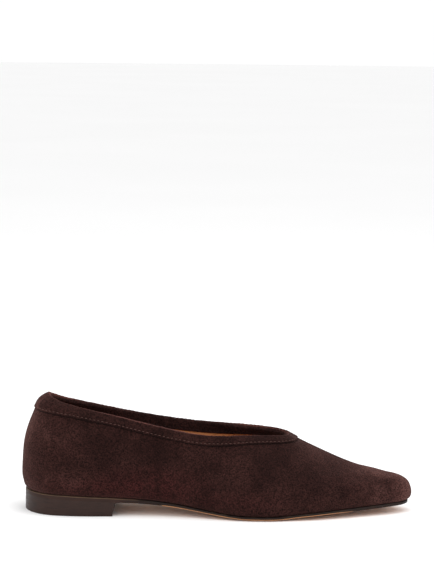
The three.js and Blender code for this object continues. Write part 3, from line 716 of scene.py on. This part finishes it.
outer_thread = thread_material("thread_outside", (0.105, 0.055, 0.045))
inner_thread = thread_material("thread_inside", (0.020, 0.0095, 0.0085))
stitch_rise = 0.0013
inner_stitch_depth = binding_inside * 0.77
outside_lift, inside_lift, sway = 0.00080, 0.00082, 0.2
outer_out = at_depth(skin_out, band_depth - stitch_rise)
inner_out = -at_depth(skin_out, inner_stitch_depth)
outer_line = off_skin(band_depth - stitch_rise, outside_lift + sway * gathers)
inner_line = off_skin(inner_stitch_depth, -(wall + inside_lift - sway * gathers))
stitch_row("stitches_outside", outer_line, outer_out, outer_thread)
stitch_row("stitches_inside", inner_line, inner_out, inner_thread)

# The insole is a board covered by a sock of tan leather, glued in over the turned-under margin. The sock is
# cut a little short of the wall, its edge is skived, and the foot has darkened it under heel and ball.
insole_thickness = 0.0022
insole_clearance = 0.0012
dish_depth = 0.0003
middle_from, middle_to = 0.115, 0.86


def bed_rows(outward_rows, middle_rows):
    """Rows round the shoe: some at distances from the foot line, some on the way to the middle line."""
    rim = foot_line(round_shoe, outward_rows[-1][0])
    made = []
    for outward, height in outward_rows:
        row = foot_line(round_shoe, outward)
        row[:, 2] = height(row[:, 0])
        made.append(row)
    tip = int(np.argmax(rim[:, 0]))
    middle = np.zeros((stations, 3))
    middle[:, 0] = np.clip(rim[:, 0], shoe_length * middle_from, shoe_length * middle_to)
    middle[:, 1] = (np.interp(middle[:, 0], rim[: tip + 1, 0], rim[: tip + 1, 1])
                    + np.interp(middle[:, 0], rim[tip:, 0][::-1], rim[tip:, 1][::-1])) / 2
    for share, height in middle_rows:
        row = rim * (1 - share) + middle * share
        row[:, 2] = height(row[:, 0])
        made.append(row)
    return made


def insole_at(share):
    """Heights in the insole at a share of its thickness."""
    return lambda x: (sole_bottom(x) + sole_thickness + seam_gap + wall + seam_gap) + insole_thickness * share


def foot_marks(tree, axes):
    """Where heel and ball of the foot have darkened the sock."""
    heel = spread_values(tree, (-6, 3), axes.outputs["X"], -0.115, -0.085)
    heel_end = spread_values(tree, (-6, 2), axes.outputs["X"], -0.080, -0.045, 1.0, 0.0)
    ball = spread_values(tree, (-6, 1), axes.outputs["X"], 0.000, 0.040)
    ball_end = spread_values(tree, (-6, 0), axes.outputs["X"], 0.060, 0.100, 1.0, 0.0)
    marks = math_on(tree, (-4, 1), "ADD", math_on(tree, (-5, 3), "MULTIPLY", heel, heel_end),
                    math_on(tree, (-5, 1), "MULTIPLY", ball, ball_end))
    return math_on(tree, (-4, 0), "MULTIPLY", marks, 0.22)


sock_leather = leather("sock_leather", (0.26, 0.095, 0.036), (0.50, 0.215, 0.092), 0.0011, 0.42, 0.00005,
                       foot_marks)
# Distance in from the insole's edge, share of its thickness
skived_edge = [(0.0, 0.0), (0.0, 0.62), (0.0003, 0.84), (0.0009, 0.98), (0.0020, 1.0)]
top_rows = [(-insole_clearance - inwards, insole_at(share)) for inwards, share in skived_edge]
dished = [(share, insole_at(1 - dish_depth / insole_thickness * share))
          for share in (0.15, 0.35, 0.6, 0.8, 1.0)]
flat = [(share, insole_at(0)) for share in (1.0, 0.6, 0.3)]
rows = bed_rows(top_rows, dished) + bed_rows([(top_rows[-1][0], insole_at(0))], flat)[1:]
points, quads = lathe(rows)
insole = make_piece("leather_insole", points + shift, quads, [sock_leather], [0] * len(quads), 50)
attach(insole, "root")
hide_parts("insole")

# The outsole is one thin piece of leather cut a little outside the upper. Its edge is trimmed, painted near
# black and waxed, browner towards the heel, and its tread is left tan and rounds up to the edge.
sole_crown = 0.0009
edge_bevel = 0.0005
bevel_starts, bevel_fades, bevel_lost = (0.060, 0.090), (0.205, 0.232), 0.7
bare_from, bare_to = 0.365, 0.83
highlight_line_to = 0.30
hidden_rim = -0.0110
heel_length = 0.061


def forefoot_share(x):
    return soft_step(heel_length, heel_length + ball_width, x)


def bevel_at(x):
    """Height of the bevel: none over the heel, full along the waist and ball, small at the toe."""
    return edge_bevel * soft_step(*bevel_starts, x) * (1 - bevel_lost * soft_step(*bevel_fades, x))


def edge_paint(name, black, brown, height, specular):
    """Painted and waxed leather edge, near black in front and burnished brown at the heel."""
    material, tree, shader = new_material(name)
    spot, axes = spot_and_axes(tree)
    stretched = node(tree, "ShaderNodeMapping", (-7, -2))
    stretched.inputs["Scale"].default_value = (0.12, 0.12, 1.0)
    tree.links.new(spot, stretched.inputs["Vector"])
    streak = noise(tree, (-5, -2), stretched.outputs[0], 0.0011, 3, 0.6)
    cloud = noise(tree, (-5, 0), spot, 0.009, 2, 0.5)
    forward = spread_values(tree, (-5, 2), axes.outputs["X"], -0.068, -0.045)
    lines = spread_values(tree, (-3, -1), streak, 0.30, 0.55, 0.45, 0.0)
    patchy = math_on(tree, (-3, 0), "MULTIPLY", spread_values(tree, (-4, 0), cloud, 0.4, 0.75, 0.0, 0.35),
                     spread_values(tree, (-4, -1), streak, 0.35, 0.7))
    light = [1.5 * part for part in brown]
    base = mix_colors(tree, (-3, 2), forward, (*brown, 1), (*black, 1))
    base = mix_colors(tree, (-2, 0), lines, base, (*black, 1))
    base = mix_colors(tree, (-1, 1), patchy, base, (*light, 1))
    cover_with(tree, shader, base, spread_values(tree, (-3, -2), streak, 0.3, 0.7, 0.36, 0.54), streak,
               0.5, height)
    shader.inputs["Specular IOR Level"].default_value = specular
    return material


def tread_marks(tree, axes):
    """The forefoot, which walking has darkened a little."""
    front = spread_values(tree, (-6, 1), axes.outputs["X"], -0.010, 0.030)
    return math_on(tree, (-5, 1), "MULTIPLY", front, 0.12)


sole_edge_paint = edge_paint("sole_edge_paint", (0.015, 0.0090, 0.0076), (0.032, 0.0165, 0.0128),
                             0.00004, 0.10)
# The feather's own paler brown, which also paints a highlight line on the sole's side over the heel
feather_and_highlight_paint = edge_paint("feather_and_highlight_paint", (0.014, 0.010, 0.009), (0.105, 0.064, 0.042), 0.00004, 0.10)
tread_leather = leather("tread_leather", (0.38, 0.165, 0.068), (0.60, 0.29, 0.13), 0.0008, 0.48, 0.00006,
                        tread_marks)


def sole_top(x):
    return sole_bottom(x) + sole_thickness


def sole_under(rise):
    """Heights of the rounded tread, as a share of its crown."""
    return lambda x: sole_bottom(x) + sole_crown * rise * forefoot_share(x)


def sole_side(share, drop=0.0):
    """Heights on the sole's side, from the bevel to the top, less a share of the bevel."""
    return lambda x: (sole_top(x) * share + (sole_under(1.0)(x) + bevel_at(x)) * (1 - share)
                      - drop * bevel_at(x))


bevel = bevel_at(margin_edge[:, 0])
edge_rows = [
    (hidden_rim, sole_top), (-0.0040, sole_top), (0.0000, sole_top), (sole_reveal - 0.0004, sole_top),
    (sole_reveal - 0.0001, lambda x: sole_top(x) - 0.00012), (sole_reveal, sole_side(0.84)),
    (sole_reveal, sole_side(0.4)), (sole_reveal, sole_side(0.0)),
    (sole_reveal - 0.25 * bevel, sole_side(0.0, 0.5)), (sole_reveal - 0.7 * bevel, sole_under(1.0)),
    (sole_reveal - 0.0016, sole_under(0.78)), (sole_reveal - 0.0032, sole_under(0.48)),
    (sole_reveal - 0.0055, sole_under(0.18)), (sole_reveal - 0.0080, sole_under(0.0)),
]
top_fill = bed_rows([(hidden_rim, sole_top)], [(1.0, sole_top), (0.5, sole_top)])[1:]
tread_rows = [(share, sole_bottom) for share in (0.25, 0.5, 0.75, 1.0)]
rows = top_fill + bed_rows(edge_rows, tread_rows)
points, quads = lathe(rows)

# Rows of faces: the top, then the painted side, then the bevel, which is bare at waist and ball
top_end, side_end, bevel_end = 6, 9, 11
along_sole = margin_edge[:, 0] / shoe_length
slots = np.full((len(rows), stations), 2)
slots[:top_end] = 1
slots[top_end:side_end] = 0
slots[side_end:bevel_end, (along_sole <= bare_from) | (along_sole >= bare_to)] = 0
# Over the heel the side's first row also takes the feather's paler brown, a painted highlight along the
# sole's top edge
slots[top_end, along_sole < highlight_line_to] = 1
outsole = make_piece("leather_outsole", points + shift, quads,
                     [sole_edge_paint, feather_and_highlight_paint, tread_leather], slots.ravel(), 40)
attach(outsole, "root")
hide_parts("outsole")

# The heel block is built of glued leather lifts under the sole, trimmed flush with it, then burnished and
# waxed. Its breast slants a little towards the toe as it rises, and meets the sole in a small curve.
breast_fillet = 0.0024
breast_rake = 0.001
heel_bevel = 0.0005
heel_cuts = 72
fillet_cuts = 8
glue_line = 0.00002
outline_points = 3000
heel_burnish = edge_paint("heel_burnish", (0.010, 0.0058, 0.0050), (0.029, 0.0150, 0.0118), 0.00005, 0.16)
heel_tread = leather("heel_tread", (0.045, 0.030, 0.024), (0.095, 0.064, 0.050), 0.0008, 0.6, 0.00006)
outline = foot_line(np.linspace(0, 1, outline_points), sole_reveal)
tip = int(np.argmax(outline[:, 0]))
back_x = outline[0, 0]


def heel_section(x, ground, bevel):
    """One slice across the heel: top, outer side, tread, inner side."""
    outer = np.interp(x, outline[:tip, 0], outline[:tip, 1])
    inner = np.interp(x, outline[tip:, 0][::-1], outline[tip:, 1][::-1])
    if x <= back_x + 1e-7:
        outer = inner = 0.0
    inwards = min(bevel, (inner - outer) / 2)
    top = float(sole_bottom(x)) + glue_line
    low = min(ground + bevel, top)
    half = [(0.0, top), (0.0, (top + low) / 2), (0.0, low),
            (inwards * 0.3, ground + (low - ground) * 0.35), (inwards, ground)]
    return [(x, outer + off, z) for off, z in half] + [(x, inner - off, z) for off, z in half[::-1]]


slices = []
for i in range(heel_cuts + 1):
    x = back_x + (heel_length - breast_rake) * (1 - math.cos(math.pi * i / (2 * heel_cuts)))
    slices.append(heel_section(x, 0.0, heel_bevel))
for i in range(fillet_cuts + 1):
    angle = math.pi * i / (2 * fillet_cuts)
    x = back_x + heel_length + breast_fillet * (1 - math.cos(angle))
    slices.append(heel_section(x, float(sole_bottom(x)) - breast_fillet * (1 - math.sin(angle)), 0.0))
size = len(slices[0])
tread_face = size // 2 - 1
faces, slots = [], []
for i in range(len(slices) - 1):
    here, there = i * size, (i + 1) * size
    for j in range(size):
        k = (j + 1) % size
        faces.append((here + j, here + k, there + k, there + j))
        slots.append(1 if j == tread_face and i < heel_cuts else 0)
faces.append(tuple(range((len(slices) - 1) * size, len(slices) * size)))
slots.append(0)
heel = make_piece("stacked_heel", np.array(slices).reshape(-1, 3) + shift, faces,
                  [heel_burnish, heel_tread], slots, 40)
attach(heel, "root")
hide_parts("heel_block")

# Daylight studio: a pale floor, a broad soft light overhead, weaker ones from the front left and from the
# toe, and a bright room. The camera looks from the outer side, a little above the floor, and leans slightly.
floor_radius = 14
bpy.ops.mesh.primitive_circle_add(vertices=96, radius=floor_radius, fill_type="NGON", location=(0, 0, 0))
floor = bpy.context.object
floor.name = "studio_floor"
paper, paper_tree, paper_shader = new_material("floor_paper")
paper_spot = node(paper_tree, "ShaderNodeTexCoord", (-6, 0)).outputs["Object"]
paper_tone = spread_values(paper_tree, (-3, 0), noise(paper_tree, (-5, 0), paper_spot, 0.6), 0.3, 0.7)
paper_colour = mix_colors(paper_tree, (-2, 0), paper_tone, (0.93, 0.93, 0.93, 1), (0.94, 0.94, 0.94, 1))
paper_tree.links.new(paper_colour, paper_shader.inputs["Base Color"])
paper_shader.inputs["Roughness"].default_value = 0.9
paper_shader.inputs["Specular IOR Level"].default_value = 0.1
floor.data.materials.append(paper)

world = bpy.data.worlds.new("studio_room")
world.use_nodes = True
room = world.node_tree.nodes["Background"]
room.inputs["Color"].default_value = (1.0, 1.0, 1.0, 1)
room.inputs["Strength"].default_value = 1.01
bpy.context.scene.world = world
bpy.context.scene.view_settings.view_transform = "Standard"

# Name, place, what it is aimed at, side in metres, power in watts
soft_lights = [
    ("overhead_softbox", (0.20, -0.10, 1.30), (0.02, 0.0, 0.03), 1.1, 7.5),
    ("front_left_softbox", (-0.90, -1.10, 0.75), (-0.02, 0.0, 0.03), 0.8, 4.0),
    ("toe_side_softbox", (1.20, -0.35, 0.70), (0.08, 0.0, 0.03), 0.6, 4.0),
]
for name, place, aim, size, power in soft_lights:
    lamp = bpy.data.lights.new(name, "AREA")
    lamp.shape = "SQUARE"
    lamp.size = size
    lamp.energy = power
    holder = bpy.data.objects.new(name, lamp)
    holder.location = place
    holder.rotation_euler = (Vector(aim) - Vector(place)).to_track_quat("-Z", "Y").to_euler()
    bpy.context.scene.collection.objects.link(holder)

photo_width, photo_height = 434, 579
elevation, lean = math.radians(11.3), math.radians(0.6)
metres_per_pixel = 0.0006766
distance = 1.5
sensor = 36
target = Vector((0, 0, 0.038))
target_pixel = (217.4, 454.3)
toward_camera = Vector((0, -math.cos(elevation), math.sin(elevation)))
right, up = Vector((1, 0, 0)), Vector((0, math.sin(elevation), math.cos(elevation)))
leant_right = right * math.cos(lean) + up * math.sin(lean)
leant_up = -right * math.sin(lean) + up * math.cos(lean)
offset = (leant_right * (photo_width / 2 - target_pixel[0])
          + leant_up * (target_pixel[1] - photo_height / 2)) * metres_per_pixel
place = target + toward_camera * distance
back = (place - (target + offset)).normalized()
across = leant_up.cross(back).normalized()
turned = Matrix((across, back.cross(across), back)).transposed().to_4x4()
photo_camera = bpy.data.cameras.new("photo_camera")
photo_camera.sensor_fit = "AUTO"
photo_camera.sensor_width = sensor
to_middle = distance / math.hypot(1, offset.length / distance)
photo_camera.lens = sensor * to_middle / metres_per_pixel / photo_height
viewer = bpy.data.objects.new("photo_camera", photo_camera)
viewer.matrix_world = Matrix.Translation(place) @ turned
bpy.context.scene.collection.objects.link(viewer)
bpy.context.scene.camera = viewer
